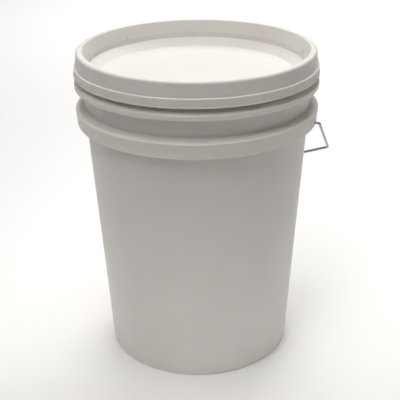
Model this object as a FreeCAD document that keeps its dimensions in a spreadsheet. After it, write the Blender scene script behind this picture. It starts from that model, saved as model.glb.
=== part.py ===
import FreeCAD, Part
import math
import os
import re
import Sketcher

# A six-gallon fermenting bucket: a moulded pail with two hollow collars under its rim, a press-on
# lid with a rubber ring in its channel, and a wire bail that turns in two ears of the lower collar.
# Z is up from the ground, X runs through the two ears, and the bail hangs at the back, on +Y.
# Lengths are in millimetres and angles in degrees. Every "drop" is measured down from the top of
# the pail's rim, and every "reach" outward from the pail's neck.

SIZES = [
    ("pail_height", 411, "ground to the top of the pail's rim"),
    ("base_radius", 123, "outside of the wall at the ground"),
    ("neck_radius", 148.2, "outside of the straight neck under the rim"),
    ("neck_length", 24.5, "straight part of the wall, down from the rim"),
    ("pail_wall", 2.2, "wall of the pail"),
    ("floor_thickness", 2.8, "floor of the pail"),
    ("foot_rise", 3.5, "floor's underside above the ground"),
    ("foot_width", 6.5, "width of the ring the pail stands on"),
    ("foot_rounding", 2.5, "outer corner of the foot"),
    ("rim_bead_reach", 1.8, "snap bead round the outside of the rim"),
    ("rim_bead_height", 4.4, "straight outer face of the snap bead"),
    ("rim_bead_drop", 4, "top of the bead's face below the rim"),
    ("collar_wall", 2.3, "wall of both collars"),
    ("upper_root_drop", 27.6, "upper collar's slope leaves the wall"),
    ("upper_edge_drop", 34.6, "upper collar's outer corner"),
    ("upper_foot_drop", 40.1, "lower edge of the upper collar"),
    ("upper_reach", 8.8, "upper collar's outer face"),
    ("lower_root_drop", 64.4, "lower collar's slope leaves the wall"),
    ("lower_edge_drop", 68.8, "lower collar's outer corner"),
    ("lower_foot_drop", 87.4, "lower edge of the lower collar"),
    ("lower_reach", 8.6, "lower collar's outer corner"),
    ("lower_draft", 1.5, "lower collar narrows to its lower edge"),
    ("web_thickness", 1.8, "webs that brace the collars from inside"),
    ("web_setback", 2.2, "webs stop above a collar's lower edge"),
    ("pivot_drop", 83, "centre of the ear holes"),
    ("ear_pad_radius", 6.5, "thickened round pad behind each ear hole"),
    ("ear_pad_depth", 1.4, "pad stands in from the collar's inside"),
    ("ear_dish_radius", 4.2, "shallow dish round the mouth of each hole"),
    ("ear_dish_depth", 0.6, "depth of the dish"),
    ("wire_radius", 1.7, "bail wire"),
    ("wire_play", 0.08, "radial clearance of the wire in ear and grip"),
    ("hook_setback", 8.9, "hooked tip's centre inside the collar corner"),
    ("hook_length", 7, "hooked tip, from the pivot line"),
    ("hook_bend", 2.6, "bend between the tip and the pivot pin"),
    ("leg_reach", 4.6, "leg's centre outside the lower collar"),
    ("leg_bend", 3.6, "bend between the pivot pin and the leg"),
    ("shoulder_reach", 6, "bail's shoulder outside the lower collar"),
    ("shoulder_depth", 96, "bail's shoulder below the pivot line"),
    ("shoulder_bend", 8, "bend at the shoulder"),
    ("flat_bend", 12, "bends at the ends of the straight middle"),
    ("hang_angle", 38.8, "bail hangs this far below level"),
    ("grip_length", 96, "plastic grip"),
    ("grip_room", 14, "bail's straight middle past each end of the grip, to its corner"),
    ("grip_clearance", 1.572, "grip hangs this far off the wall"),
    ("grip_radius", 9.2, "middle of the grip"),
    ("grip_flange", 0.9, "flanges at the grip's ends"),
    ("grip_flange_width", 5, "width of each flange"),
    ("grip_flute", 1.3, "radius of the grooves along the grip"),
    ("ring_thickness", 2.6, "top ring of the lid"),
    ("gasket_thickness", 2.2, "rubber ring between rim and lid"),
    ("gasket_width", 3.1, "radial width of the rubber ring"),
    ("gasket_setback", 1.9, "rubber ring's inner edge inside the neck"),
    ("gasket_rounding", 0.6, "corners of the rubber ring"),
    ("ring_setback", 3.2, "inner edge of the lid's top ring"),
    ("ring_rounding", 3, "outer corner of the lid's top ring"),
    ("inner_rounding", 1.2, "inner corner of the lid's top ring"),
    ("skirt_top_reach", 4.4, "skirt's outer face carried up to the top"),
    ("skirt_reach", 6, "skirt's outer face above its step"),
    ("skirt_wall", 2.1, "wall of the lid's skirt"),
    ("skirt_depth", 30.2, "top of the lid to the skirt's lower edge"),
    ("step_depth", 18.7, "top of the lid to the step in its skirt"),
    ("step_reach", 2.1, "skirt steps out by this"),
    ("step_fall", 0.4, "step's outer edge below its root"),
    ("step_rounding", 0.5, "outer edge of the step"),
    ("lip_reach", 0.8, "lip at the skirt's lower edge"),
    ("lip_height", 1.5, "height of the lip"),
    ("snap_play", 0.4, "lid's inner bead clears the rim bead"),
    ("snap_depth", 17, "top of the lid to the inner bead"),
    ("plug_wall", 2.1, "wall of the lid's plug"),
    ("funnel_depth", 8.2, "sloping band inside the ring"),
    ("funnel_setback", 6.2, "foot of the sloping band"),
    ("band_depth", 16.8, "lower edge of the upper band of the plug"),
    ("band_setback", 8.8, "same edge, inside the neck"),
    ("ledge_depth", 23.2, "outer edge of the sloping ledge"),
    ("ledge_setback", 8.9, "same edge, inside the neck"),
    ("panel_depth", 32.1, "centre panel below the top of the lid"),
    ("panel_setback", 22.6, "panel's edge inside the neck"),
    ("panel_thickness", 2.4, "centre panel"),
    ("lug_width", 4.6, "lugs on the plug's upper band"),
    ("lug_proud", 2.2, "foot of each lug stands in from the band"),
    ("lug_rise", 0.8, "top of each lug above the band"),
    ("lug_phase", 19, "first lug round from the back of the pail"),
]

WEBS = 18
LUGS = 9
FLUTES = 10

doc = FreeCAD.newDocument("fermenting_bucket")
sheet = doc.addObject("Spreadsheet::Sheet", "Sizes")
for row, (name, value, note) in enumerate(SIZES, start=1):
    sheet.set("A%d" % row, name)
    sheet.set("B%d" % row, str(value))
    sheet.set("C%d" % row, note)
    sheet.setAlias("B%d" % row, name)
doc.recompute()

# Heights and radii that several pieces share, worded as sums of sheet sizes.
TOP = "pail_height + gasket_thickness + ring_thickness"
SEAT = "pail_height + gasket_thickness"
COLLAR = "neck_radius + lower_reach"
PIVOT = "pail_height - pivot_drop"
STEP = "neck_radius + skirt_reach + step_reach"
SLOPE = "(neck_radius - base_radius) / (pail_height - neck_length)"
FLAT = "grip_length / 2 + grip_room"


def sized(words):
    """Turn bare size names into references to the sheet."""
    return re.sub(r"\b([a-z]\w*)\b(?!\()", r"Sizes.\1", words)


def size_of(words):
    """The number a sum of sizes comes to."""
    value = sheet.evalExpression(sized(words))
    return float(getattr(value, "Value", value))


def wall_at(height):
    """Outside radius of the pail's tapered wall at a height."""
    return "base_radius + (%s) * %s" % (height, SLOPE)


def bail_depth():
    """From the pivot line to the bail's middle, so that the hanging grip just clears the wall."""
    return ("(%s + (grip_radius + grip_clearance) * sqrt(1 + (%s)^2))"
            " / (cos(hang_angle * 1deg) + (%s) * sin(hang_angle * 1deg))"
            % (wall_at(PIVOT), SLOPE, SLOPE))


def origin_part(body, role):
    """One of a body's own planes or axes."""
    return [part for part in body.Origin.OriginFeatures if part.Role == role][0]


def new_body(name):
    body = doc.addObject("PartDesign::Body", name)
    body.Label = name
    return body


def new_sketch(body, name, plane):
    sketch = body.newObject("Sketcher::SketchObject", name)
    sketch.AttachmentSupport = [(origin_part(body, plane), "")]
    sketch.MapMode = "FlatFace"
    return sketch


def hold(sketch, kind, curve, end, words):
    """Fix one coordinate of a curve's end from the sketch's origin."""
    value = size_of(words)
    if abs(value) < 1e-9:
        axis = -2 if kind == "DistanceX" else -1
        sketch.addConstraint(Sketcher.Constraint("PointOnObject", curve, end, axis))
        return
    number = sketch.addConstraint(Sketcher.Constraint(kind, -1, 1, curve, end, value))
    sketch.setExpression("Constraints[%d]" % number, sized(words))


def outline(body, name, plane, corners):
    """A closed straight-sided outline whose every corner is held by sizes."""
    sketch = new_sketch(body, name, plane)
    spots = [FreeCAD.Vector(size_of(across), size_of(up), 0) for across, up in corners]
    lines = []
    for index, spot in enumerate(spots):
        following = spots[(index + 1) % len(spots)]
        lines.append(sketch.addGeometry(Part.LineSegment(spot, following), False))
    for index, line in enumerate(lines):
        following = lines[(index + 1) % len(lines)]
        sketch.addConstraint(Sketcher.Constraint("Coincident", line, 2, following, 1))
    for line, (across, up) in zip(lines, corners):
        hold(sketch, "DistanceX", line, 1, across)
        hold(sketch, "DistanceY", line, 1, up)
    return sketch


def disc(body, name, plane, radius, across, up):
    """A circle held by its radius and its centre."""
    sketch = new_sketch(body, name, plane)
    centre = FreeCAD.Vector(size_of(across), size_of(up), 0)
    circle = Part.Circle(centre, FreeCAD.Vector(0, 0, 1), size_of(radius))
    curve = sketch.addGeometry(circle, False)
    number = sketch.addConstraint(Sketcher.Constraint("Radius", curve, size_of(radius)))
    sketch.setExpression("Constraints[%d]" % number, sized(radius))
    hold(sketch, "DistanceX", curve, 3, across)
    hold(sketch, "DistanceY", curve, 3, up)
    return sketch


def bent_path(body, name, plane, corners, bends):
    """An open line through the corners, rounded at each inner one to its bend radius."""
    sketch = new_sketch(body, name, plane)
    spots = [FreeCAD.Vector(size_of(across), size_of(up), 0) for across, up in corners]
    marks = []
    for spot, (across, up) in zip(spots, corners):
        mark = sketch.addGeometry(Part.Point(spot), True)
        hold(sketch, "DistanceX", mark, 1, across)
        hold(sketch, "DistanceY", mark, 1, up)
        marks.append(mark)
    leaving = [spots[0]]
    arriving = []
    arcs = []
    for index, bend in enumerate(bends, start=1):
        before = (spots[index - 1] - spots[index]).normalize()
        after = (spots[index + 1] - spots[index]).normalize()
        half = before.getAngle(after) / 2
        radius = size_of(bend)
        arriving.append(spots[index] + before * (radius / math.tan(half)))
        leaving.append(spots[index] + after * (radius / math.tan(half)))
        centre = spots[index] + (before + after).normalize() * (radius / math.sin(half))
        left_turn = before.cross(after).z < 0
        first, last = (arriving[-1], leaving[-1]) if left_turn else (leaving[-1], arriving[-1])
        angles = [math.atan2(end.y - centre.y, end.x - centre.x) for end in (first, last)]
        if angles[1] < angles[0]:
            angles[1] += 2 * math.pi
        circle = Part.Circle(centre, FreeCAD.Vector(0, 0, 1), radius)
        arcs.append((Part.ArcOfCircle(circle, *angles), left_turn, bend, radius))
    arriving.append(spots[-1])
    lines = []
    for start, end in zip(leaving, arriving):
        lines.append(sketch.addGeometry(Part.LineSegment(start, end), False))
    for index, (arc, left_turn, bend, radius) in enumerate(arcs):
        curve = sketch.addGeometry(arc, False)
        entry, leave = (1, 2) if left_turn else (2, 1)
        sketch.addConstraint(Sketcher.Constraint("Tangent", lines[index], 2, curve, entry))
        sketch.addConstraint(Sketcher.Constraint("Tangent", curve, leave, lines[index + 1], 1))
        number = sketch.addConstraint(Sketcher.Constraint("Radius", curve, radius))
        sketch.setExpression("Constraints[%d]" % number, sized(bend))
    for index, line in enumerate(lines):
        if index == 0:
            sketch.addConstraint(Sketcher.Constraint("Coincident", marks[0], 1, line, 1))
        else:
            sketch.addConstraint(Sketcher.Constraint("PointOnObject", marks[index], 1, line))
        if index == len(lines) - 1:
            sketch.addConstraint(Sketcher.Constraint("Coincident", marks[-1], 1, line, 2))
        else:
            sketch.addConstraint(Sketcher.Constraint("PointOnObject", marks[index + 1], 1, line))
    return sketch


def turned(body, name, sketch, axis="Z_Axis"):
    """Turn an outline a full circle about one of the body's axes."""
    feature = body.newObject("PartDesign::Revolution", name)
    feature.Profile = sketch
    feature.ReferenceAxis = (origin_part(body, axis), [""])
    feature.Angle = 360
    doc.recompute()
    return feature


def padded(body, name, sketch, thickness, symmetric=False):
    feature = body.newObject("PartDesign::Pad", name)
    feature.Profile = sketch
    feature.setExpression("Length", sized(thickness))
    if symmetric:
        feature.SideType = "Symmetric"
    doc.recompute()
    return feature


def cut(body, name, sketch, depth, symmetric=False, backwards=False):
    """Pocket a sketch and make sure that it takes material away."""
    before = body.Shape.Volume
    feature = body.newObject("PartDesign::Pocket", name)
    feature.Profile = sketch
    feature.setExpression("Length", sized(depth))
    feature.Reversed = backwards
    if symmetric:
        feature.SideType = "Symmetric"
    doc.recompute()
    assert body.Shape.Volume < before - 0.01, name + " cuts nothing"
    return feature


def repeated(body, name, feature, count, axis="Z_Axis"):
    """Repeat a feature round one of the body's axes."""
    pattern = body.newObject("PartDesign::PolarPattern", name)
    pattern.Originals = [feature]
    pattern.Axis = (origin_part(body, axis), [""])
    pattern.Angle = 360
    pattern.Occurrences = count
    body.Tip = pattern
    doc.recompute()
    return pattern


def rounded(body, name, radius, rings):
    """Fillet the full circles that lie at the given radii and heights."""
    base = body.Tip
    wanted = [(size_of(across), size_of(up)) for across, up in rings]
    edges = []
    for number, edge in enumerate(base.Shape.Edges, start=1):
        if not isinstance(edge.Curve, Part.Circle):
            continue
        spot = (edge.Curve.Radius, edge.Curve.Center.z)
        if any(math.dist(spot, place) < 0.02 for place in wanted):
            edges.append("Edge%d" % number)
    assert len(edges) >= len(wanted), name + " misses an edge"
    feature = body.newObject("PartDesign::Fillet", name)
    feature.Base = (base, edges)
    feature.setExpression("Radius", sized(radius))
    doc.recompute()
    return feature


# The pail: floor, foot ring, tapered wall, straight neck and beaded rim, turned as one wall.
bucket = new_body("bucket")
wall_line = outline(bucket, "wall_outline", "XZ_Plane", [
    ("0", "foot_rise"),
    ("base_radius - foot_width - foot_rise", "foot_rise"),
    ("base_radius - foot_width", "0"),
    ("base_radius", "0"),
    ("neck_radius", "pail_height - neck_length"),
    ("neck_radius", "pail_height - rim_bead_drop - rim_bead_height - rim_bead_reach"),
    ("neck_radius + rim_bead_reach", "pail_height - rim_bead_drop - rim_bead_height"),
    ("neck_radius + rim_bead_reach", "pail_height - rim_bead_drop"),
    ("neck_radius + rim_bead_reach / 3", "pail_height"),
    ("neck_radius - pail_wall", "pail_height"),
    ("neck_radius - pail_wall", "pail_height - neck_length"),
    (wall_at("foot_rise + floor_thickness") + " - pail_wall", "foot_rise + floor_thickness"),
    ("0", "foot_rise + floor_thickness"),
])
turned(bucket, "wall", wall_line)
rounded(bucket, "foot_corner", "foot_rounding", [("base_radius", "0")])
rounded(bucket, "floor_corner", "foot_rounding", [
    (wall_at("foot_rise + floor_thickness") + " - pail_wall", "foot_rise + floor_thickness"),
])

# The upper collar: a hollow flange that slopes out from the wall and turns down.
upper_line = outline(bucket, "upper_collar_outline", "XZ_Plane", [
    (wall_at("pail_height - upper_root_drop") + " - pail_wall / 2", "pail_height - upper_root_drop"),
    ("neck_radius + upper_reach - 1", "pail_height - upper_edge_drop + 1.2"),
    ("neck_radius + upper_reach", "pail_height - upper_edge_drop"),
    ("neck_radius + upper_reach", "pail_height - upper_foot_drop"),
    ("neck_radius + upper_reach - collar_wall", "pail_height - upper_foot_drop"),
    ("neck_radius + upper_reach - collar_wall", "pail_height - upper_edge_drop - 0.8"),
    (wall_at("pail_height - upper_root_drop - collar_wall") + " - pail_wall / 2",
     "pail_height - upper_root_drop - collar_wall"),
])
turned(bucket, "upper_collar", upper_line)

# The lower collar: the same but taller, slightly tapered, and it carries the ears.
lower_line = outline(bucket, "lower_collar_outline", "XZ_Plane", [
    (wall_at("pail_height - lower_root_drop") + " - pail_wall / 2", "pail_height - lower_root_drop"),
    (COLLAR, "pail_height - lower_edge_drop"),
    (COLLAR + " - lower_draft", "pail_height - lower_foot_drop"),
    (COLLAR + " - lower_draft - collar_wall", "pail_height - lower_foot_drop"),
    (COLLAR + " - collar_wall", "pail_height - lower_edge_drop - 1.6"),
    (wall_at("pail_height - lower_root_drop - collar_wall - 0.5") + " - pail_wall / 2",
     "pail_height - lower_root_drop - collar_wall - 0.5"),
])
turned(bucket, "lower_collar", lower_line)
rounded(bucket, "lower_collar_edge", "collar_wall / 2", [(COLLAR, "pail_height - lower_edge_drop")])

# Webs inside both collars, between the wall and the skirt, spaced to miss the ears.
upper_web_line = outline(bucket, "upper_web_outline", "YZ_Plane", [
    (wall_at("pail_height - upper_foot_drop") + " - pail_wall / 2",
     "pail_height - upper_foot_drop + web_setback"),
    ("neck_radius + upper_reach - collar_wall / 2", "pail_height - upper_foot_drop + web_setback"),
    ("neck_radius + upper_reach - collar_wall / 2", "pail_height - upper_edge_drop"),
    (wall_at("pail_height - upper_foot_drop") + " - pail_wall / 2",
     "pail_height - upper_root_drop - collar_wall / 2"),
])
upper_web = padded(bucket, "upper_web", upper_web_line, "web_thickness", symmetric=True)
repeated(bucket, "upper_webs", upper_web, WEBS)
lower_web_line = outline(bucket, "lower_web_outline", "YZ_Plane", [
    (wall_at("pail_height - lower_foot_drop") + " - pail_wall / 2",
     "pail_height - lower_foot_drop + web_setback"),
    (COLLAR + " - lower_draft - collar_wall / 2", "pail_height - lower_foot_drop + web_setback"),
    (COLLAR + " - collar_wall / 2", "pail_height - lower_edge_drop - 1"),
    (wall_at("pail_height - lower_foot_drop") + " - pail_wall / 2",
     "pail_height - lower_root_drop - collar_wall / 2"),
])
lower_web = padded(bucket, "lower_web", lower_web_line, "web_thickness", symmetric=True)
repeated(bucket, "lower_webs", lower_web, WEBS)

# The ears: a pad behind the lower collar at each side, a shallow dish in front, and the hole.
PAD_FACE = COLLAR + " - lower_draft - collar_wall - ear_pad_depth"
pad_line = disc(bucket, "ear_pad_outline", "YZ_Plane", "ear_pad_radius", "0", PIVOT)
pad_line.setExpression("AttachmentOffset.Base.z", sized(PAD_FACE))
ear_pad = padded(bucket, "ear_pad", pad_line, "ear_pad_depth + collar_wall")
repeated(bucket, "ear_pads", ear_pad, 2)
dish_line = disc(bucket, "ear_dish_outline", "YZ_Plane", "ear_dish_radius", "0", PIVOT)
dish_line.setExpression("AttachmentOffset.Base.z", sized(COLLAR + " + 2"))
ear_dish = cut(bucket, "ear_dish", dish_line, "lower_draft * 0.77 + 2 + ear_dish_depth")
repeated(bucket, "ear_dishes", ear_dish, 2)
hole_line = disc(bucket, "ear_hole_outline", "YZ_Plane", "wire_radius + wire_play", "0", PIVOT)
hole_line.setExpression("AttachmentOffset.Base.z", sized(COLLAR + " + 2"))
ear_hole = cut(bucket, "ear_hole", hole_line,
               "lower_draft + collar_wall + ear_pad_depth + 2.5")
repeated(bucket, "ear_holes", ear_hole, 2)

# The lid: centre panel, sloping ledge, plug wall, top ring and skirt, turned as one wall.
lid = new_body("lid")
lid_line = outline(lid, "lid_outline", "XZ_Plane", [
    ("0", TOP + " - panel_depth"),
    ("neck_radius - panel_setback", TOP + " - panel_depth"),
    ("neck_radius - ledge_setback", TOP + " - ledge_depth"),
    ("neck_radius - band_setback", TOP + " - band_depth"),
    ("neck_radius - funnel_setback", TOP + " - funnel_depth"),
    ("neck_radius - ring_setback", TOP),
    ("neck_radius + skirt_top_reach", TOP),
    ("neck_radius + skirt_reach", TOP + " - step_depth"),
    (STEP, TOP + " - step_depth - step_fall"),
    (STEP, TOP + " - skirt_depth + lip_height + lip_reach / 2"),
    (STEP + " + lip_reach", TOP + " - skirt_depth + lip_height"),
    (STEP + " + lip_reach", TOP + " - skirt_depth"),
    (STEP + " - skirt_wall", TOP + " - skirt_depth"),
    (STEP + " - skirt_wall", TOP + " - step_depth - skirt_wall - step_fall"),
    ("neck_radius + skirt_reach - skirt_wall", TOP + " - step_depth - skirt_wall / 2"),
    ("neck_radius + rim_bead_reach + snap_play", TOP + " - snap_depth - 0.6"),
    ("neck_radius + rim_bead_reach + snap_play", TOP + " - snap_depth + 0.6"),
    ("neck_radius + skirt_reach - skirt_wall - 0.7", TOP + " - snap_depth + 4"),
    ("neck_radius + skirt_top_reach - 0.85 * skirt_wall", SEAT),
    ("neck_radius - ring_setback + 0.75", SEAT),
    ("neck_radius - funnel_setback + plug_wall", TOP + " - funnel_depth - 0.7"),
    ("neck_radius - band_setback + plug_wall", TOP + " - band_depth"),
    ("neck_radius - ledge_setback + plug_wall", TOP + " - ledge_depth - 0.6 * plug_wall"),
    ("neck_radius - panel_setback + 0.5 * plug_wall", TOP + " - panel_depth - panel_thickness"),
    ("0", TOP + " - panel_depth - panel_thickness"),
])
turned(lid, "lid_shell", lid_line)
rounded(lid, "ring_inner_corner", "inner_rounding", [("neck_radius - ring_setback", TOP)])
rounded(lid, "ring_outer_corner", "ring_rounding", [("neck_radius + skirt_top_reach", TOP)])
rounded(lid, "step_corner", "step_rounding", [(STEP, TOP + " - step_depth - step_fall")])
rounded(lid, "ledge_corner", "inner_rounding * 0.8", [
    ("neck_radius - ledge_setback", TOP + " - ledge_depth"),
])
rounded(lid, "panel_corner", "inner_rounding * 1.5", [
    ("neck_radius - panel_setback", TOP + " - panel_depth"),
])

# Small wedge-shaped lugs round the plug's upper band.
lug_line = outline(lid, "lug_outline", "YZ_Plane", [
    ("neck_radius - band_setback + plug_wall / 3", TOP + " - band_depth"),
    ("neck_radius - band_setback - lug_proud", TOP + " - band_depth"),
    ("neck_radius - band_setback - lug_proud + 0.3", TOP + " - band_depth + 1.5"),
    ("neck_radius - funnel_setback + plug_wall / 3", TOP + " - funnel_depth + lug_rise"),
])
upright = FreeCAD.Rotation(FreeCAD.Vector(0, 1, 0), size_of("lug_phase"))
lug_line.AttachmentOffset = FreeCAD.Placement(FreeCAD.Vector(0, 0, 0), upright)
lug_line.setExpression("AttachmentOffset.Rotation.Angle", sized("lug_phase") + " * 1deg")
lug = padded(lid, "lug", lug_line, "lug_width", symmetric=True)
repeated(lid, "lugs", lug, LUGS)

# The rubber ring that lies in the lid's channel and meets the pail's rim.
lid_gasket = new_body("lid_gasket")
gasket_line = outline(lid_gasket, "gasket_outline", "XZ_Plane", [
    ("neck_radius - gasket_setback", "pail_height"),
    ("neck_radius - gasket_setback + gasket_width", "pail_height"),
    ("neck_radius - gasket_setback + gasket_width", SEAT),
    ("neck_radius - gasket_setback", SEAT),
])
turned(lid_gasket, "gasket_ring", gasket_line)
rounded(lid_gasket, "gasket_corners", "gasket_rounding", [
    ("neck_radius - gasket_setback", "pail_height"),
    ("neck_radius - gasket_setback + gasket_width", "pail_height"),
])

# The bail: half a wire bent from its hooked tip to the middle of the handle, then mirrored.
bail_wire = new_body("bail_wire")
bail_path = bent_path(bail_wire, "bail_path", "XY_Plane", [
    (COLLAR + " - hook_setback", "hook_length"),
    (COLLAR + " - hook_setback", "0"),
    (COLLAR + " + leg_reach", "0"),
    (COLLAR + " + shoulder_reach", "shoulder_depth"),
    (FLAT, bail_depth()),
    ("0", bail_depth()),
], ["hook_bend", "leg_bend", "shoulder_bend", "flat_bend"])
wire_section = disc(bail_wire, "wire_section", "XZ_Plane", "wire_radius",
                    COLLAR + " - hook_setback", "0")
wire_section.setExpression("AttachmentOffset.Base.z", sized("0 - hook_length"))
half_bail = bail_wire.newObject("PartDesign::AdditivePipe", "half_bail")
half_bail.Profile = wire_section
half_bail.Spine = (bail_path, [""])
half_bail.Mode = "Frenet"
doc.recompute()
other_half = bail_wire.newObject("PartDesign::Mirrored", "other_half")
other_half.Originals = [half_bail]
other_half.MirrorPlane = (origin_part(bail_wire, "YZ_Plane"), [""])
bail_wire.Tip = other_half
doc.recompute()

# The grip: a moulded tube with end flanges and grooves along it, loose on the wire.
bail_grip = new_body("bail_grip")
grip_line = outline(bail_grip, "grip_outline", "XY_Plane", [
    ("0 - grip_length / 2", "wire_radius + wire_play"),
    ("grip_length / 2", "wire_radius + wire_play"),
    ("grip_length / 2", "grip_radius + grip_flange"),
    ("grip_length / 2 - grip_flange_width", "grip_radius + grip_flange"),
    ("grip_length / 2 - grip_flange_width - grip_flange", "grip_radius"),
    ("0 - grip_length / 2 + grip_flange_width + grip_flange", "grip_radius"),
    ("0 - grip_length / 2 + grip_flange_width", "grip_radius + grip_flange"),
    ("0 - grip_length / 2", "grip_radius + grip_flange"),
])
turned(bail_grip, "grip_tube", grip_line, "X_Axis")
flute_line = disc(bail_grip, "flute_outline", "YZ_Plane", "grip_flute", "0", "grip_radius + grip_flute / 3")
flute = cut(bail_grip, "flute", flute_line,
            "grip_length - 2 * grip_flange_width - 4 * grip_flange", symmetric=True)
repeated(bail_grip, "flutes", flute, FLUTES, "X_Axis")

# The bail and its grip hang back from the ears at the hang angle.
hang = FreeCAD.Rotation(FreeCAD.Vector(1, 0, 0), -size_of("hang_angle"))
for body, along in ((bail_wire, "0"), (bail_grip, bail_depth())):
    body.Placement = FreeCAD.Placement(FreeCAD.Vector(0, 1, 1), hang)
    body.setExpression("Placement.Rotation.Angle", "0deg - " + sized("hang_angle") + " * 1deg")
    lean = sized("hang_angle") + " * 1deg"
    body.setExpression("Placement.Base.y", "(%s) * cos(%s)" % (sized(along), lean))
    body.setExpression("Placement.Base.z",
                       "%s - (%s) * sin(%s)" % (sized(PIVOT), sized(along), lean))
doc.recompute()

for thing in doc.Objects:
    bad = [word for word in thing.State if word in ("Invalid", "Error")]
    assert not bad, "%s is %s" % (thing.Name, bad)

os.makedirs("parts", exist_ok=True)
for body in (bucket, lid, lid_gasket, bail_wire, bail_grip):
    shape = body.Shape
    assert not shape.isNull() and shape.isValid(), body.Label + " is not a sound solid"
    assert len(shape.Solids) == 1, body.Label + " is not one solid"
    shape.exportStep("parts/%s.step" % body.Label)
    box = shape.BoundBox
    print("%-11s %9.0f mm3  x %7.2f %7.2f  y %7.2f %7.2f  z %7.2f %7.2f" % (
        body.Label, shape.Volume, box.XMin, box.XMax, box.YMin, box.YMax, box.ZMin, box.ZMax))
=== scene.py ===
import math

import bmesh
import bpy
from mathutils import Matrix, Vector


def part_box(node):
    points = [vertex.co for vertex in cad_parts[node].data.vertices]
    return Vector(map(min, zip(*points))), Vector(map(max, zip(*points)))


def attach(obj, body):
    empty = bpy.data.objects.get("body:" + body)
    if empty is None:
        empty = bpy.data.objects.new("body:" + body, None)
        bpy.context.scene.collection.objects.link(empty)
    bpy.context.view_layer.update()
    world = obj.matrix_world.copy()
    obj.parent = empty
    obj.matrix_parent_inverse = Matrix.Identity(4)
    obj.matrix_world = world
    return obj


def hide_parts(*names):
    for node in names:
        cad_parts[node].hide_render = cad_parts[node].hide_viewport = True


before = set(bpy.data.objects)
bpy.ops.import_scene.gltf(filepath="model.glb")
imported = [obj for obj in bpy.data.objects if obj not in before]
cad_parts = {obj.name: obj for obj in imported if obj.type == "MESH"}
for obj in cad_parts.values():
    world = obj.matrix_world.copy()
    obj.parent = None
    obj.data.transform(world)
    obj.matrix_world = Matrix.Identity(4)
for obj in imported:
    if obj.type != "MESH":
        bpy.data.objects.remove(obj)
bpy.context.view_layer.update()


# ---- The camera --------------------------------------------------------------------------------
# A long lens stands in front of the pail at chest height and looks down on it, a little round
# towards the ear on the right, so that the lid's recess and the bail's leg both show.
camera_place = Vector((0.3291, -1.0701, 0.7146))
camera_pitch = math.radians(24.63)
camera_turn = math.radians(16.96)
camera_roll = math.radians(-0.59)
camera_lens = 81.0

camera_data = bpy.data.cameras.new("studio_camera")
camera_data.lens = camera_lens
camera_data.sensor_width = 36.0
camera = bpy.data.objects.new("studio_camera", camera_data)
bpy.context.collection.objects.link(camera)
camera.matrix_world = (
    Matrix.Translation(camera_place)
    @ Matrix.Rotation(camera_turn, 4, "Z")
    @ Matrix.Rotation(math.pi / 2 - camera_pitch, 4, "X")
    @ Matrix.Rotation(camera_roll, 4, "Z")
)
bpy.context.scene.camera = camera


# ---- The pail ----------------------------------------------------------------------------------
# The pail is one injection moulding in white polyethylene: a tapered wall on a foot ring, two
# hollow collars that stiffen the top, and a rim with a snap bead for the lid. The wall and both
# collars are one closed outline turned about the axis; the ear holes are drilled after moulding.
pail_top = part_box("bucket")[1][2]
base_radius = 0.123
neck_radius = 0.1482
neck_length = 0.0245
pail_wall = 0.0022
floor_top = 0.0063
underside = 0.0036
underside_recess = 0.0042
foot_inner_radius = 0.1165
collar_wall = 0.0023
upper_collar_radius = 0.1569
lower_collar_radius = 0.1568
pivot_height = pail_top - 0.083
wire_radius = 0.0017
wire_play = 0.00008
ear_dish_radius = 0.0042
ear_dish_depth = 0.0006
ear_pad_radius = 0.0065
web_thickness = 0.0018
web_count = 18
turning_steps = 256
smallest_corner = math.radians(42.0)
ear_circle = 0.0042
web_overlap = 0.0010
web_easing = 0.00025
polyethylene_light = (0.805, 0.770, 0.720, 1.0)
polyethylene_shade = (0.765, 0.725, 0.675, 1.0)
polyethylene_grime = (0.50, 0.46, 0.41, 1.0)


class Flow:
    """One output of a node. Sums and products of flows add Math nodes to the same tree."""

    def __init__(self, tree, socket):
        self.tree = tree
        self.socket = socket

    def node(self, kind, settings=(), sockets=(), output=0):
        """Add a node, set it up, feed its sockets, and hand back one of its outputs."""
        made = self.tree.nodes.new(kind)
        for name, value in dict(settings).items():
            setattr(made, name, value)
        for key, value in dict(sockets).items():
            if isinstance(value, Flow):
                self.tree.links.new(value.socket, made.inputs[key])
            else:
                made.inputs[key].default_value = value
        return Flow(self.tree, made.outputs[output])

    def math(self, operation, first, second=0.0):
        return self.node("ShaderNodeMath", {"operation": operation}, {0: first, 1: second})

    def __add__(self, other):
        return self.math("ADD", self, other)

    def __sub__(self, other):
        return self.math("SUBTRACT", self, other)

    def __rsub__(self, other):
        return self.math("SUBTRACT", other, self)

    def __mul__(self, other):
        return self.math("MULTIPLY", self, other)

    def __truediv__(self, other):
        return self.math("DIVIDE", self, other)

    __radd__ = __add__
    __rmul__ = __mul__

    def between(self, low, high):
        """A soft mask that rises from 0 at low to 1 at high."""
        return self.node("ShaderNodeMapRange", {"interpolation_type": "SMOOTHSTEP"},
                         {"Value": self, "From Min": low, "From Max": high})

    def noise(self, scale, detail=2.0, roughness=0.5, stretch=(1.0, 1.0, 1.0)):
        """Noise read at this place, stretched by a Mapping node where it runs one way."""
        place = self
        if stretch != (1.0, 1.0, 1.0):
            place = self.node("ShaderNodeMapping", {}, {"Vector": self, "Scale": stretch})
        return self.node("ShaderNodeTexNoise", {}, {
            "Vector": place, "Scale": scale, "Detail": detail, "Roughness": roughness})

    def blend(self, first, second):
        """Colour that goes from the first to the second as this mask rises."""
        return self.node("ShaderNodeMix", {"data_type": "RGBA"},
                         {0: self, 6: first, 7: second}, output=2)

    def part(self, axis):
        """One coordinate of a place."""
        return self.node("ShaderNodeSeparateXYZ", {}, {0: self}, output="XYZ".index(axis))


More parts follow.
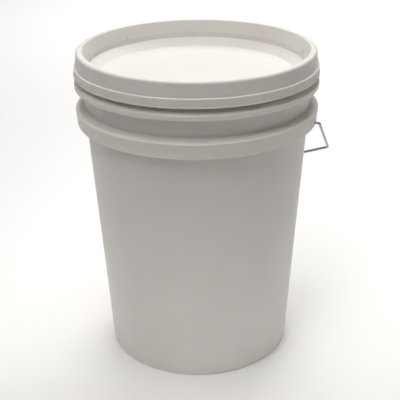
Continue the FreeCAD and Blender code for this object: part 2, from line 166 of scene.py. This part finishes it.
def new_finish(name, **steady):
    """A material with its shader's steady sockets set, and the flow of its object places."""
    material = bpy.data.materials.new(name)
    material.use_nodes = True
    tree = material.node_tree
    shader = tree.nodes["Principled BSDF"]
    for socket, value in steady.items():
        shader.inputs[socket.replace("_", " ")].default_value = value
    places = Flow(tree, tree.nodes.new("ShaderNodeTexCoord").outputs["Object"])
    return material, shader, places


def feed(shader, colour, roughness, height, depth):
    """Join the three varying looks of a surface to its shader; height gives the bump."""
    tree = colour.tree
    bump = height.node("ShaderNodeBump", {}, {
        "Height": height, "Distance": depth, "Strength": 1.0})
    tree.links.new(colour.socket, shader.inputs["Base Color"])
    tree.links.new(roughness.socket, shader.inputs["Roughness"])
    tree.links.new(bump.socket, shader.inputs["Normal"])


def moulded_polyethylene(name, dirt_low, dirt_high):
    """Satin moulded polyethylene: cloudy, faintly streaked from the gate, scuffed and handled.
    The dirt mask rises between two heights, where hands and floors leave their mark."""
    material, shader, places = new_finish(
        name, IOR=1.5, Subsurface_Weight=0.35, Subsurface_Scale=0.006,
        Subsurface_Radius=(1.0, 0.82, 0.66), Specular_IOR_Level=0.42)
    cloud = places.noise(7.0, 3.0, 0.55)
    streak = places.noise(1.0, 2.0, 0.5, (30.0, 30.0, 5.0))
    peel = places.noise(620.0, 2.0, 0.5)
    swell = places.noise(38.0, 2.0, 0.5)
    rubbed = places.noise(90.0, 5.0, 0.7, (1.0, 1.0, 0.22)).between(0.60, 0.72)
    specks = places.noise(420.0, 1.0, 0.5).between(0.74, 0.80)
    worn = places.part("Z").between(dirt_low, dirt_high)
    tone = (cloud * 0.75 + streak * 0.25).between(0.30, 0.70)
    clean = tone.blend(polyethylene_shade, polyethylene_light)
    handled = (rubbed * worn * 0.22 + specks * 0.10).blend(clean, polyethylene_grime)
    roughness = 0.40 + cloud * 0.10 + rubbed * 0.12 - streak * 0.05
    height = peel * 0.35 + swell * 0.9 + rubbed * 0.12
    feed(shader, handled, roughness, height, 0.00006)
    return material


def rounded_line(corners, steps=5, hold=0.0004, longest=0.03):
    """Round an open outline. Each corner is (radius, height, rounding); points just beyond each
    rounding keep the flats flat, and long runs are divided."""
    spots = [Vector(corner[:2]) for corner in corners]
    line = [spots[0]]
    for index in range(1, len(spots) - 1):
        corner = spots[index]
        if corners[index][2] == 0.0:
            line.append(corner)
            continue
        back = spots[index - 1] - corner
        on = spots[index + 1] - corner
        half = back.angle(on) / 2
        reach = corners[index][2] / math.tan(half)
        reach = min(reach, 0.45 * back.length, 0.45 * on.length)
        rounding = reach * math.tan(half)
        back.normalize()
        on.normalize()
        centre = corner + (back + on).normalized() * (rounding / math.sin(half))
        first = corner + back * reach - centre
        last = corner + on * reach - centre
        sweep = first.angle_signed(last)
        line.append(corner + back * (reach + hold))
        for step in range(steps + 1):
            turn = Matrix.Rotation(-sweep * step / steps, 2)
            line.append(centre + turn @ first)
        line.append(corner + on * (reach + hold))
    line.append(spots[-1])
    divided = [line[0]]
    for spot in line[1:]:
        gap = spot - divided[-1]
        cuts = max(1, math.ceil(gap.length / longest))
        start = divided[-1].copy()
        for cut in range(1, cuts + 1):
            divided.append(start + gap * cut / cuts)
    return divided


def new_tree(name, inputs):
    """A geometry tree with named inputs, and the flow of its group input's first socket."""
    tree = bpy.data.node_groups.new(name, "GeometryNodeTree")
    tree.interface.new_socket("Shape", in_out="INPUT", socket_type="NodeSocketGeometry")
    for label, kind in inputs:
        tree.interface.new_socket(label, in_out="INPUT", socket_type="NodeSocket" + kind)
    tree.interface.new_socket("Shape", in_out="OUTPUT", socket_type="NodeSocketGeometry")
    sockets = tree.nodes.new("NodeGroupInput").outputs
    return tree, {socket.name: Flow(tree, socket) for socket in sockets if socket.name}


def end_tree(tree, shape, material):
    """Every tree ends in real geometry with its material set."""
    real = shape.node("GeometryNodeRealizeInstances", {}, {0: shape})
    coated = real.node("GeometryNodeSetMaterial", {}, {"Geometry": real, "Material": material})
    tree.links.new(coated.socket, tree.nodes.new("NodeGroupOutput").inputs[0])


def lathe_tree():
    """Turn an outline about the axis: it is swept round a circle and its poles are merged."""
    tree, given = new_tree("turned_outline", [
        ("Circle radius", "Float"), ("Steps", "Int"), ("Finish", "Material")])
    shape = given["Shape"]
    outline = shape.node("GeometryNodeMeshToCurve", {}, {0: shape})
    circle = shape.node("GeometryNodeCurvePrimitiveCircle", {}, {
        "Radius": given["Circle radius"], "Resolution": given["Steps"]})
    upright = circle.node("GeometryNodeSetCurveNormal", {"mode": "Z_UP"}, {0: circle})
    swept = upright.node("GeometryNodeCurveToMesh", {}, {0: upright, 1: outline})
    closed = swept.node("GeometryNodeMergeByDistance", {}, {0: swept, "Distance": 0.000002})
    end_tree(tree, closed, given["Finish"])
    return tree


def ring_tree():
    """Repeat a shape at even angles round the axis, the first one at a given angle."""
    tree, given = new_tree("ring_of_copies", [
        ("Count", "Int"), ("First angle", "Float"), ("Finish", "Material")])
    shape = given["Shape"]
    spots = shape.node("GeometryNodeMeshLine", {"mode": "OFFSET"}, {
        "Count": given["Count"], "Offset": (0.0, 0.0, 0.0)})
    index = shape.node("GeometryNodeInputIndex")
    angle = index * (2 * math.pi) / given["Count"] + given["First angle"]
    turn = angle.node("ShaderNodeCombineXYZ", {}, {"Z": angle})
    copies = shape.node("GeometryNodeInstanceOnPoints", {}, {
        "Points": spots, "Instance": shape, "Rotation": turn})
    end_tree(tree, copies, given["Finish"])
    return tree


def new_piece(name, mesh):
    piece = bpy.data.objects.new(name, mesh)
    bpy.context.collection.objects.link(piece)
    return piece


def settle(piece, outward=True):
    """Turn a piece and its modifiers into one plain mesh with smooth, outward faces."""
    graph = bpy.context.evaluated_depsgraph_get()
    mesh = bpy.data.meshes.new_from_object(piece.evaluated_get(graph), depsgraph=graph)
    piece.modifiers.clear()
    piece.data = mesh
    work = bmesh.new()
    work.from_mesh(mesh)
    bmesh.ops.remove_doubles(work, verts=work.verts, dist=0.000001)
    if outward:
        bmesh.ops.recalc_face_normals(work, faces=work.faces)
    work.to_mesh(mesh)
    work.free()
    mesh.polygons.foreach_set("use_smooth", [True] * len(mesh.polygons))
    mesh.set_sharp_from_angle(angle=smallest_corner)
    mesh.name = piece.name
    return piece


def grow(piece, tree, **inputs):
    """Put a geometry tree on a piece with its named inputs, and settle the result."""
    modifier = piece.modifiers.new("grow", "NODES")
    modifier.node_group = tree
    for item in tree.interface.items_tree:
        label = item.name.replace(" ", "_")
        if item.in_out == "INPUT" and label in inputs:
            modifier[item.identifier] = inputs[label]
    return settle(piece)


def turned_piece(name, corners, circle_radius, material, **line):
    """A piece turned from rounded corners about the pail's axis."""
    points = rounded_line(corners, **line)
    mesh = bpy.data.meshes.new(name)
    mesh.from_pydata([(spot.x - circle_radius, -spot.y, 0.0) for spot in points],
                     [(index, index + 1) for index in range(len(points) - 1)], [])
    return grow(new_piece(name, mesh), turning, Circle_radius=circle_radius,
                Steps=turning_steps, Finish=material)


def plate(name, outline, thickness, bevel):
    """A flat plate in the XZ plane, as thick as given along Y, with its edges eased."""
    work = bmesh.new()
    corners = [work.verts.new((across, -thickness / 2, up)) for across, up in outline]
    face = work.faces.new(corners)
    raised = bmesh.ops.extrude_face_region(work, geom=[face])["geom"]
    moved = [item for item in raised if isinstance(item, bmesh.types.BMVert)]
    bmesh.ops.translate(work, verts=moved, vec=(0.0, thickness, 0.0))
    bmesh.ops.recalc_face_normals(work, faces=work.faces)
    bmesh.ops.bevel(work, geom=work.edges[:], offset=bevel, segments=2, profile=0.5,
                    affect="EDGES")
    mesh = bpy.data.meshes.new(name)
    work.to_mesh(mesh)
    work.free()
    return new_piece(name, mesh)


def joined(name, pieces):
    """One moulding made of several settled pieces."""
    work = bmesh.new()
    for piece in pieces:
        work.from_mesh(piece.data)
    material = pieces[0].data.materials[0]
    for piece in pieces:
        bpy.data.objects.remove(piece)
    mesh = bpy.data.meshes.new(name)
    work.to_mesh(mesh)
    work.free()
    mesh.materials.append(material)
    mesh.set_sharp_from_angle(angle=smallest_corner)
    return new_piece(name, mesh)


def wall_at(height):
    """Outside radius of the tapered wall at a height."""
    return base_radius + (neck_radius - base_radius) * height / (pail_top - neck_length)


def below_rim(drop):
    return pail_top - drop


turning = lathe_tree()
ringing = ring_tree()
pail_finish = moulded_polyethylene("moulded_pail", 0.10, 0.0)
lower_inner = lower_collar_radius - collar_wall
lower_foot_radius = lower_collar_radius - 0.0015
upper_inner = upper_collar_radius - collar_wall
pail_corners = [
    (0.0, 0.0030, 0.0),
    (0.0035, 0.0030, 0.0004),
    (0.0042, underside, 0.0003),
    (0.0300, underside, 0.0004),
    (0.0310, underside_recess, 0.0004),
    (0.0820, underside_recess, 0.0004),
    (0.0830, underside, 0.0004),
    (foot_inner_radius - 0.0034, underside, 0.0010),
    (foot_inner_radius, 0.0, 0.0008),
    (base_radius, 0.0, 0.0025),
    (wall_at(below_rim(0.0672)), below_rim(0.0672), 0.0008),
    (lower_inner, below_rim(0.0704), 0.0005),
    (lower_foot_radius - collar_wall, below_rim(0.0874), 0.0005),
    (lower_foot_radius, below_rim(0.0874), 0.0006),
    (lower_collar_radius, below_rim(0.0688), 0.0010),
    (wall_at(below_rim(0.0644)), below_rim(0.0644), 0.0010),
    (wall_at(below_rim(0.0299)), below_rim(0.0299), 0.0008),
    (upper_inner, below_rim(0.0354), 0.0005),
    (upper_inner, below_rim(0.0401), 0.0005),
    (upper_collar_radius, below_rim(0.0401), 0.0006),
    (upper_collar_radius, below_rim(0.0346), 0.0008),
    (upper_collar_radius - 0.0010, below_rim(0.0334), 0.0008),
    (wall_at(below_rim(0.0276)), below_rim(0.0276), 0.0010),
    (neck_radius, below_rim(neck_length), 0.0020),
    (neck_radius, below_rim(0.0102), 0.0005),
    (neck_radius + 0.0018, below_rim(0.0084), 0.0005),
    (neck_radius + 0.0018, below_rim(0.0040), 0.0008),
    (neck_radius + 0.0006, below_rim(0.0), 0.0006),
    (neck_radius - pail_wall, below_rim(0.0), 0.0005),
    (neck_radius - pail_wall, below_rim(neck_length), 0.0040),
    (wall_at(floor_top) - pail_wall, floor_top, 0.0025),
    (0.0, floor_top, 0.0),
]
pail_shell = turned_piece("pail_shell", pail_corners, neck_radius, pail_finish)


def along_x(piece):
    """Lay a piece turned about Z along X, its foot end towards the pail's axis."""
    piece.data.transform(Matrix.Rotation(math.pi / 2, 4, "Y"))
    return piece


# The drill that leaves the hole and its shallow dish, one at each end of the pivot line.
dish_floor = lower_collar_radius - 0.0012 - ear_dish_depth
hole_radius = wire_radius + wire_play
drills = []
for side in (0, 1):
    drill = along_x(turned_piece("ear_drill", [
        (0.0, 0.150, 0.0),
        (hole_radius, 0.150, 0.0),
        (hole_radius, dish_floor - 0.0006, 0.0004),
        (hole_radius + 0.0006, dish_floor, 0.0004),
        (ear_dish_radius, dish_floor, 0.0003),
        (ear_dish_radius + 0.0004, 0.160, 0.0),
        (0.0, 0.160, 0.0),
    ], ear_circle, pail_finish, steps=3, hold=0.00005))
    drill.data.transform(Matrix.Rotation(math.pi * side, 4, "Z"))
    drill.data.transform(Matrix.Translation((0.0, 0.0, pivot_height)))
    drills.append(drill)
for drill in drills:
    drilled = pail_shell.modifiers.new("ear_hole", "BOOLEAN")
    drilled.operation = "DIFFERENCE"
    drilled.solver = "EXACT"
    drilled.object = drill
settle(pail_shell, outward=False)
for drill in drills:
    bpy.data.objects.remove(drill)

# The thick round pad behind each hole.
pad_face = lower_foot_radius - collar_wall - 0.0014
ear_pad = turned_piece("ear_pad", [
    (hole_radius, pad_face + 0.0012, 0.0),
    (hole_radius, pad_face, 0.0004),
    (ear_pad_radius, pad_face, 0.0006),
    (ear_pad_radius, pad_face + 0.0030, 0.0004),
    (hole_radius, pad_face + 0.0030, 0.0004),
    (hole_radius, pad_face + 0.0012, 0.0),
], ear_circle, pail_finish, steps=3, hold=0.00005)
along_x(ear_pad)
ear_pad.data.transform(Matrix.Translation((0.0, 0.0, pivot_height)))
ear_pads = grow(ear_pad, ringing, Count=2, First_angle=0.0, Finish=pail_finish)

# The webs that brace each collar from inside, spaced so that none meets an ear.
web_first = math.pi / 2
upper_web = plate("upper_web", [
    (wall_at(below_rim(0.0379)) - web_overlap, below_rim(0.0379)),
    (upper_inner + web_overlap, below_rim(0.0379)),
    (upper_inner + web_overlap, below_rim(0.0350)),
    (wall_at(below_rim(0.0379)) - web_overlap, below_rim(0.0290)),
], web_thickness, web_easing)
upper_webs = grow(upper_web, ringing, Count=web_count, First_angle=web_first, Finish=pail_finish)
lower_web = plate("lower_web", [
    (wall_at(below_rim(0.0852)) - web_overlap, below_rim(0.0852)),
    (lower_foot_radius - collar_wall + web_overlap, below_rim(0.0852)),
    (lower_inner + web_overlap, below_rim(0.0698)),
    (wall_at(below_rim(0.0852)) - web_overlap, below_rim(0.0660)),
], web_thickness, web_easing)
lower_webs = grow(lower_web, ringing, Count=web_count, First_angle=web_first, Finish=pail_finish)

pail = joined("pail", [pail_shell, ear_pads, upper_webs, lower_webs])
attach(pail, "pail")
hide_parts("bucket")


# ---- The lid -----------------------------------------------------------------------------------
# The lid is a second moulding in the same polyethylene. Its top ring hooks over the rim, its
# skirt steps out to a band and a lip to prise it by, and its sunk panel takes the foot of another
# pail; nine small lugs inside the ring centre that foot.
lid_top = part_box("lid")[1][2]
lid_skirt_radius = neck_radius + 0.0060
lid_band_radius = lid_skirt_radius + 0.0021
lid_lip_radius = lid_band_radius + 0.0008
lid_wall = 0.0021
lug_width = 0.0046
lug_easing = 0.0006
lug_count = 9
lug_first = math.radians(109.0)
lid_finish = moulded_polyethylene("moulded_lid", 0.370, 0.400)


def below_lid(depth):
    return lid_top - depth


lid_corners = [
    (0.0, below_lid(0.0321), 0.0),
    (neck_radius - 0.0226, below_lid(0.0321), 0.0018),
    (neck_radius - 0.0089, below_lid(0.0232), 0.0010),
    (neck_radius - 0.0088, below_lid(0.0168), 0.0010),
    (neck_radius - 0.0062, below_lid(0.0082), 0.0020),
    (neck_radius - 0.0032, below_lid(0.0), 0.0012),
    (neck_radius + 0.0044, below_lid(0.0), 0.0032),
    (lid_skirt_radius, below_lid(0.0187), 0.0003),
    (lid_band_radius, below_lid(0.0191), 0.0005),
    (lid_band_radius, below_lid(0.0283), 0.0003),
    (lid_lip_radius, below_lid(0.0286), 0.0003),
    (lid_lip_radius, below_lid(0.0302), 0.0004),
    (lid_band_radius - lid_wall, below_lid(0.0302), 0.0004),
    (lid_band_radius - lid_wall, below_lid(0.0212), 0.0005),
    (lid_skirt_radius - lid_wall, below_lid(0.01975), 0.0005),
    (neck_radius + 0.0022, below_lid(0.0176), 0.0004),
    (neck_radius + 0.0022, below_lid(0.0164), 0.0004),
    (neck_radius + 0.0032, below_lid(0.0130), 0.0006),
    (neck_radius + 0.0026, below_lid(0.0026), 0.0005),
    (neck_radius - 0.0024, below_lid(0.0026), 0.0005),
    (neck_radius - 0.0041, below_lid(0.0089), 0.0015),
    (neck_radius - 0.0067, below_lid(0.0168), 0.0010),
    (neck_radius - 0.0068, below_lid(0.0245), 0.0008),
    (neck_radius - 0.0215, below_lid(0.0345), 0.0015),
    (0.0, below_lid(0.0345), 0.0),
]
lid_shell = turned_piece("lid_shell", lid_corners, neck_radius, lid_finish)
lug = plate("lug", [
    (neck_radius - 0.0081, below_lid(0.0168)),
    (neck_radius - 0.0110, below_lid(0.0168)),
    (neck_radius - 0.0107, below_lid(0.0153)),
    (neck_radius - 0.0055, below_lid(0.0074)),
], lug_width, lug_easing)
lugs = grow(lug, ringing, Count=lug_count, First_angle=lug_first, Finish=lid_finish)
lid = joined("lid_moulding", [lid_shell, lugs])
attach(lid, "lid")
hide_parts("lid")


# ---- The gasket --------------------------------------------------------------------------------
# A soft rubber ring lies in the channel under the lid's top ring and is pressed on by the rim.
# It is extruded, cut and joined, and has a matt skin with a fine grain.
gasket_inner = neck_radius - 0.0019
gasket_outer = neck_radius + 0.0012
gasket_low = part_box("lid_gasket")[0][2]
gasket_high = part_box("lid_gasket")[1][2]
rubber_light = (0.62, 0.60, 0.55, 1.0)
rubber_shade = (0.50, 0.48, 0.43, 1.0)

gasket_finish, gasket_shader, gasket_places = new_finish(
    "sealing_rubber", IOR=1.52, Specular_IOR_Level=0.3)
gasket_mottle = gasket_places.noise(60.0, 4.0, 0.6)
gasket_grain = gasket_places.noise(900.0, 2.0, 0.5)
feed(gasket_shader,
     gasket_mottle.between(0.3, 0.7).blend(rubber_shade, rubber_light),
     0.66 + gasket_mottle * 0.18,
     gasket_grain + gasket_mottle * 0.5, 0.00005)
gasket_middle = (gasket_inner + gasket_outer) / 2
gasket = turned_piece("gasket_ring", [
    (gasket_middle, gasket_low, 0.0),
    (gasket_outer, gasket_low, 0.0006),
    (gasket_outer, gasket_high, 0.0002),
    (gasket_inner, gasket_high, 0.0002),
    (gasket_inner, gasket_low, 0.0006),
    (gasket_middle, gasket_low, 0.0),
], neck_radius, gasket_finish, steps=4, hold=0.0001)
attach(gasket, "lid")
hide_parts("lid_gasket")


# ---- The bail ----------------------------------------------------------------------------------
# The bail is one length of drawn, galvanised steel wire. Each end goes in through an ear and is
# hooked behind it; the wire then runs down a leg, round a shoulder and across to the grip.
hang_angle = math.radians(38.8)
bail_depth = 0.1892
bail_corners = [
    # across, down the bail, bend radius
    (0.1479, 0.0070, 0.0),
    (0.1479, 0.0, 0.0026),
    (0.1614, 0.0, 0.0036),
    (0.1628, 0.0960, 0.0080),
    (0.0620, bail_depth, 0.0120),
]
zinc_bright = (0.46, 0.46, 0.455, 1.0)
zinc_dull = (0.27, 0.27, 0.27, 1.0)
zinc_stain = (0.20, 0.185, 0.17, 1.0)


def bail_tree():
    """Bend a wire along corner points: the corners are rounded and a round section follows."""
    tree, given = new_tree("bent_wire", [
        ("Wire radius", "Float"), ("Finish", "Material")])
    shape = given["Shape"]
    path = shape.node("GeometryNodeMeshToCurve", {}, {0: shape})
    bend = shape.node("GeometryNodeInputNamedAttribute", {"data_type": "FLOAT"},
                      {"Name": "bend"})
    bent = path.node("GeometryNodeFilletCurve", {"mode": "POLY"}, {
        "Curve": path, "Count": 16, "Radius": bend, "Limit Radius": True})
    run = bent.node("GeometryNodeSplineParameter", output="Length")
    marked = bent.node("GeometryNodeStoreNamedAttribute", {
        "data_type": "FLOAT", "domain": "POINT"}, {"Geometry": bent, "Name": "run", "Value": run})
    section = shape.node("GeometryNodeCurvePrimitiveCircle", {}, {
        "Radius": given["Wire radius"], "Resolution": 20})
    turn = section.node("GeometryNodeSplineParameter", output="Factor")
    ringed = section.node("GeometryNodeStoreNamedAttribute", {
        "data_type": "FLOAT", "domain": "POINT"},
        {"Geometry": section, "Name": "turn", "Value": turn})
    wire = marked.node("GeometryNodeCurveToMesh", {}, {
        0: marked, 1: ringed, "Fill Caps": True})
    end_tree(tree, wire, given["Finish"])
    return tree


wire_finish, wire_shader, wire_places = new_finish(
    "galvanised_wire", Metallic=1.0, Specular_IOR_Level=0.5)
wire_run = wire_places.node("ShaderNodeAttribute", {"attribute_name": "run"}, {}, output="Fac")
wire_turn = wire_places.node("ShaderNodeAttribute", {"attribute_name": "turn"}, {}, output="Fac")
wire_skin = wire_run.node("ShaderNodeCombineXYZ", {}, {
    "X": wire_run * 30.0, "Y": wire_turn * 9.0})
drawn_lines = wire_skin.noise(3.0, 3.0, 0.6, (0.15, 6.0, 1.0))
spangle = wire_places.noise(260.0, 3.0, 0.6)
stain = wire_places.noise(70.0, 4.0, 0.65).between(0.55, 0.75)
zinc = (spangle * 0.6 + drawn_lines * 0.4).between(0.35, 0.65).blend(zinc_dull, zinc_bright)
feed(wire_shader,
     (stain * 0.5).blend(zinc, zinc_stain),
     0.24 + spangle * 0.16 + stain * 0.22,
     drawn_lines * 0.8 + spangle * 0.4, 0.00005)

bail_whole = bail_corners + [
    (-across, down, bend) for across, down, bend in reversed(bail_corners)]


def on_bail(across, down):
    """A place on the bail's plane, which hangs back from the pivot line."""
    return (across, down * math.cos(hang_angle), pivot_height - down * math.sin(hang_angle))


bail_mesh = bpy.data.meshes.new("bail")
bail_mesh.from_pydata([on_bail(across, down) for across, down, bend in bail_whole],
                      [(index, index + 1) for index in range(len(bail_whole) - 1)], [])
bend_store = bail_mesh.attributes.new("bend", "FLOAT", "POINT")
bend_store.data.foreach_set("value", [bend for across, down, bend in bail_whole])
bail = grow(new_piece("bail", bail_mesh), bail_tree(),
            Wire_radius=wire_radius, Finish=wire_finish)
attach(bail, "bail")
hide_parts("bail_wire")


# ---- The grip ----------------------------------------------------------------------------------
# The grip is a moulded polyethylene roller, slipped on the wire before its ends are bent. It is
# grooved along its length to be held, and a flange at each end keeps it off the bends.
grip_half = 0.048
grip_radius = 0.0092
grip_flange = 0.0009
grip_flange_width = 0.005
flute_count = 10
flute_depth = 0.0009
flute_fade = 0.003
grip_circle = 0.006
grip_finish = moulded_polyethylene("moulded_grip", 0.0, 0.5)
grip_bore = wire_radius + wire_play
grip_step = grip_half - grip_flange_width
grip = turned_piece("grip_roller", [
    (grip_bore, 0.0, 0.0),
    (grip_bore, -grip_half, 0.0005),
    (grip_radius + grip_flange, -grip_half, 0.0012),
    (grip_radius + grip_flange, -grip_step, 0.0006),
    (grip_radius, -grip_step + grip_flange, 0.0006),
    (grip_radius, grip_step - grip_flange, 0.0006),
    (grip_radius + grip_flange, grip_step, 0.0006),
    (grip_radius + grip_flange, grip_half, 0.0012),
    (grip_bore, grip_half, 0.0005),
    (grip_bore, 0.0, 0.0),
], grip_circle, grip_finish, steps=4, hold=0.0002, longest=0.004)
for point in grip.data.vertices:
    around = math.atan2(point.co.y, point.co.x)
    radius = math.hypot(point.co.x, point.co.y)
    if radius < grip_radius - 0.0002:
        continue
    inside = min(1.0, max(0.0, (grip_step - flute_fade - abs(point.co.z)) / flute_fade))
    groove = max(0.0, math.cos(around * flute_count)) ** 2
    shrink = 1.0 - flute_depth * inside * groove / radius
    point.co.x *= shrink
    point.co.y *= shrink
along_x(grip)
grip.data.transform(Matrix.Translation(on_bail(0.0, bail_depth)))
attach(grip, "grip")
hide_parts("bail_grip")


# ---- The studio --------------------------------------------------------------------------------
# The pail stands on a plain pale floor. One soft light with a narrow beam hangs over it and a
# weaker one in front, two wide panels lift its sides, one light is kept for the floor behind it,
# and a small one low in front stands for a bright bench top.
floor_tone = (0.95, 0.935, 0.92, 1.0)
floor_pale = (0.96, 0.945, 0.93, 1.0)
floor_size = 14.0

floor_finish, floor_shader, floor_places = new_finish("studio_floor", Specular_IOR_Level=0.2)
floor_cloud = floor_places.noise(0.8, 2.0, 0.5)
feed(floor_shader,
     floor_cloud.between(0.2, 0.8).blend(floor_tone, floor_pale),
     0.75 + floor_cloud * 0.1,
     floor_cloud, 0.0001)
floor_mesh = bpy.data.meshes.new("studio_floor")
floor_edge = floor_size / 2
floor_mesh.from_pydata([(-floor_edge, -floor_edge, 0.0), (floor_edge, -floor_edge, 0.0),
                        (floor_edge, floor_edge, 0.0), (-floor_edge, floor_edge, 0.0)],
                       [], [(0, 1, 2, 3)])
floor_mesh.materials.append(floor_finish)
floor = new_piece("studio_floor", floor_mesh)


def soft_light(name, place, aim, size, power, spread=180.0):
    """A square soft light at a place, turned to face its aim; a lower spread narrows its beam."""
    lamp = bpy.data.lights.new(name, "AREA")
    lamp.shape = "SQUARE"
    lamp.size = size
    lamp.energy = power
    lamp.spread = math.radians(spread)
    stand = bpy.data.objects.new(name, lamp)
    bpy.context.collection.objects.link(stand)
    facing = (Vector(aim) - Vector(place)).to_track_quat("-Z", "Y").to_matrix().to_4x4()
    stand.matrix_world = Matrix.Translation(place) @ facing
    stand.visible_camera = False


soft_light("overhead_light", (0.0, -0.25, 2.2), (0.0, 0.0, 0.3), 1.0, 2.2, spread=56.0)
soft_light("front_light", (-0.2, -1.3, 2.3), (0.0, -0.12, 0.36), 0.8, 0.6, spread=34.0)
soft_light("left_panel", (-2.0, 0.3, 1.3), (0.0, 0.0, 0.3), 1.2, 2.6)
soft_light("right_panel", (2.0, 0.7, 1.3), (0.0, 0.0, 0.3), 1.2, 2.1)
soft_light("floor_light", (-0.3, 2.0, 2.3), (-0.3, 2.3, 0.0), 2.0, 70)
soft_light("foot_light", (0.12, -0.42, 0.05), (0.02, -0.12, 0.03), 0.3, 0.14)

world = bpy.data.worlds.new("studio_air")
world.use_nodes = True
world.node_tree.nodes["Background"].inputs["Color"].default_value = (1.0, 0.99, 0.98, 1.0)
world.node_tree.nodes["Background"].inputs["Strength"].default_value = 0.15
bpy.context.scene.world = world
bpy.context.scene.view_settings.view_transform = "Standard"
